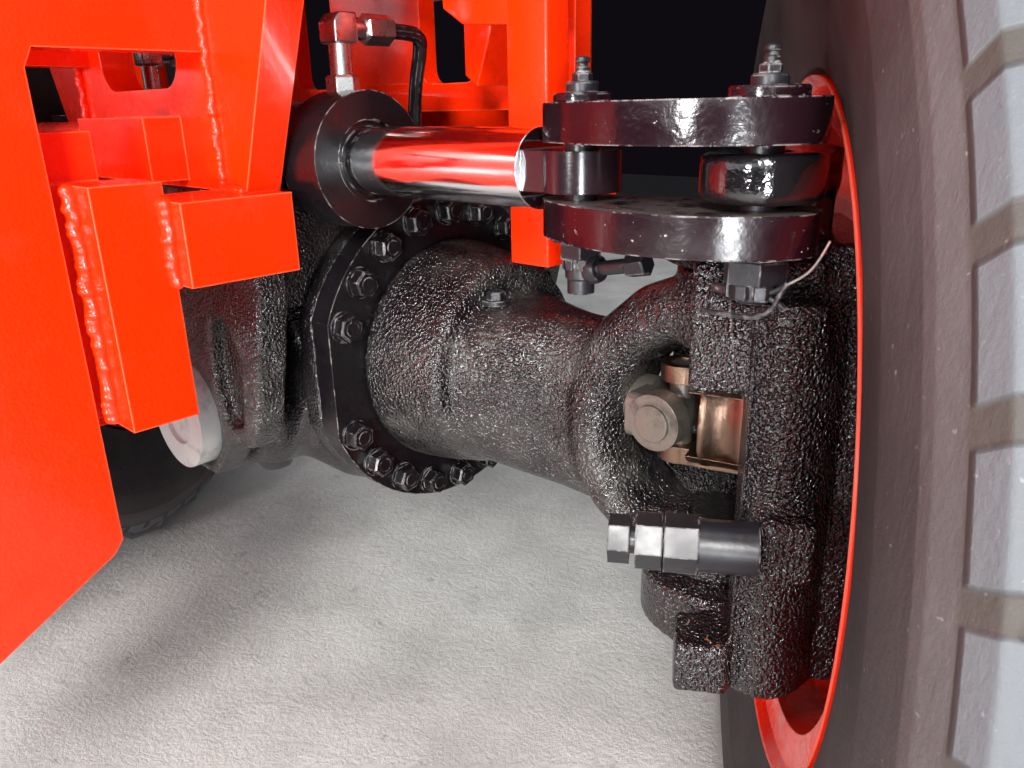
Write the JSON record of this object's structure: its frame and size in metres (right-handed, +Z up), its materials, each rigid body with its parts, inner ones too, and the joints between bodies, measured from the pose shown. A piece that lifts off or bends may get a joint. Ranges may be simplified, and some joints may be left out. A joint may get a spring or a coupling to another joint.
{
  "type": "steering drive axle with chassis cradle",
  "caption": "Rear steering drive axle of a rough terrain forklift with steering cylinder, links, knuckles and lugged wheels, hung on a fore-and-aft pivot in its chassis cradle.",
  "frame": {"origin": "centre of the four chassis bolt holes on the cradle's top face", "axes": "+X to the vehicle's left along the axle, +Y to the vehicle's rear, +Z up"},
  "size_m": [1.8314, 1.0562, 0.8365],
  "materials": {
    "orange_paint": "satin orange-red paint",
    "black_casting": "gloss black paint over rough sand casting",
    "black_steel": "gloss black paint",
    "bright_steel": "machined",
    "zinc_steel": "zinc plated",
    "chrome": "hard chrome",
    "bronze": "oily bronze-coloured steel",
    "pipe_black": "satin",
    "rim_paint": "satin orange-red paint",
    "tyre": "dusty worn rubber"
  },
  "bodies": {
    "cradle": {"front_block_left": "orange_paint", "front_block_right": "orange_paint", "front_cross_plate": "orange_paint", "front_pivot_bracket": "black_casting", "front_pivot_tube": "bright_steel", "middle_cross_plate": "orange_paint", "rear_block_left": "orange_paint", "rear_block_right": "orange_paint", "rear_cross_plate": "orange_paint", "rear_pivot_bracket": "black_casting", "rear_pivot_tube": "bright_steel", "side_plate_left": "orange_paint", "side_plate_right": "orange_paint", "stop_post_left": "orange_paint", "stop_post_right": "orange_paint", "top_plate": "orange_paint"},
    "axle": {"bolt_flange_left": "black_casting", "bolt_flange_right": "black_casting", "centre_housing": "black_casting", "cylinder_barrel": "black_steel", "cylinder_feet": "black_casting", "cylinder_head_left": "black_steel", "cylinder_head_right": "black_steel", "drive_nose": "black_casting", "inner_yoke_left": "bright_steel", "inner_yoke_right": "bright_steel", "pivot_pin": "bright_steel", "steering_pipe_left": "pipe_black", "steering_pipe_right": "pipe_black", "trumpet_left": "black_casting", "trumpet_right": "black_casting"},
    "steering_rod": {"piston_rod": "chrome"},
    "link_left": {"link_plates_left": "black_steel", "link_pins_left": "zinc_steel"},
    "link_right": {"link_plates_right": "black_steel", "link_pins_right": "zinc_steel"},
    "knuckle_left": {"knuckle_left": "black_casting", "kingpins_left": "bright_steel", "stop_bolt_left": "zinc_steel", "outer_yoke_left": "bright_steel", "spindle_left": "black_casting"},
    "knuckle_right": {"knuckle_right": "black_casting", "kingpins_right": "bright_steel", "stop_bolt_right": "zinc_steel", "outer_yoke_right": "bright_steel", "spindle_right": "black_casting"},
    "joint_fork_left": {"middle_fork_left": "bronze"},
    "joint_fork_right": {"middle_fork_right": "bronze"},
    "wheel_left": {"hub_left": "black_casting", "rim_left": "rim_paint", "tyre_left": "tyre"},
    "wheel_right": {"hub_right": "black_casting", "rim_right": "rim_paint", "tyre_right": "tyre"},
    "drive_flange": {"drive_flange": "bright_steel"}
  },
  "joints": [
    {"name": "axle_oscillation", "type": "hinge", "parent": "cradle", "child": "axle", "pos_m": [0, 0, -0.472], "axis": [0, 1, 0], "range_deg": [-5.5, 5.5]},
    {"name": "steer_left", "type": "hinge", "parent": "axle", "child": "knuckle_left", "pos_m": [0.45, 0, -0.42], "axis": [0, 0, 1], "range_deg": [-65, 1]},
    {"name": "steer_right", "type": "hinge", "parent": "axle", "child": "knuckle_right", "pos_m": [-0.45, 0, -0.42], "axis": [0, 0, 1], "range_deg": [-65, 1]},
    {"name": "rod_slide", "type": "slide", "parent": "axle", "child": "steering_rod", "axis": [1, 0, 0], "range_m": [-0.115, 0.0019]},
    {"name": "link_left_pivot", "type": "hinge", "parent": "knuckle_left", "child": "link_left", "pos_m": [0.50617, -0.08989, -0.242], "axis": [0, 0, 1], "range_deg": [-1, 65]},
    {"name": "link_right_pivot", "type": "hinge", "parent": "knuckle_right", "child": "link_right", "pos_m": [-0.39383, -0.08989, -0.242], "axis": [0, 0, 1], "range_deg": [-1, 65]},
    {"name": "joint_fork_left_pivot", "type": "hinge", "parent": "axle", "child": "joint_fork_left", "pos_m": [0.41255, 0, -0.42], "axis": [0, 0, 1], "range_deg": [-32.5, 0.5]},
    {"name": "joint_fork_right_pivot", "type": "hinge", "parent": "axle", "child": "joint_fork_right", "pos_m": [-0.41255, 0, -0.42], "axis": [0, 0, 1], "range_deg": [-32.5, 0.5]},
    {"name": "wheel_left_spin", "type": "hinge", "parent": "knuckle_left", "child": "wheel_left", "pos_m": [0.45, 0, -0.42], "axis": [0.848, 0.5299, 0], "continuous": true},
    {"name": "wheel_right_spin", "type": "hinge", "parent": "knuckle_right", "child": "wheel_right", "pos_m": [-0.45, 0, -0.42], "axis": [0.848, 0.5299, 0], "continuous": true},
    {"name": "drive_spin", "type": "hinge", "parent": "axle", "child": "drive_flange", "pos_m": [0, 0.2, -0.472], "axis": [0, 1, 0], "continuous": true}
  ],
  "couplings": [
    {"joint": "steer_right", "follows": "steer_left", "ratio": 1},
    {"joint": "rod_slide", "follows": "steer_left", "m_per_rad": 0.1006},
    {"joint": "link_left_pivot", "follows": "steer_left", "ratio": -1},
    {"joint": "link_right_pivot", "follows": "steer_left", "ratio": -1},
    {"joint": "joint_fork_left_pivot", "follows": "steer_left", "ratio": 0.5},
    {"joint": "joint_fork_right_pivot", "follows": "steer_left", "ratio": 0.5}
  ]
}
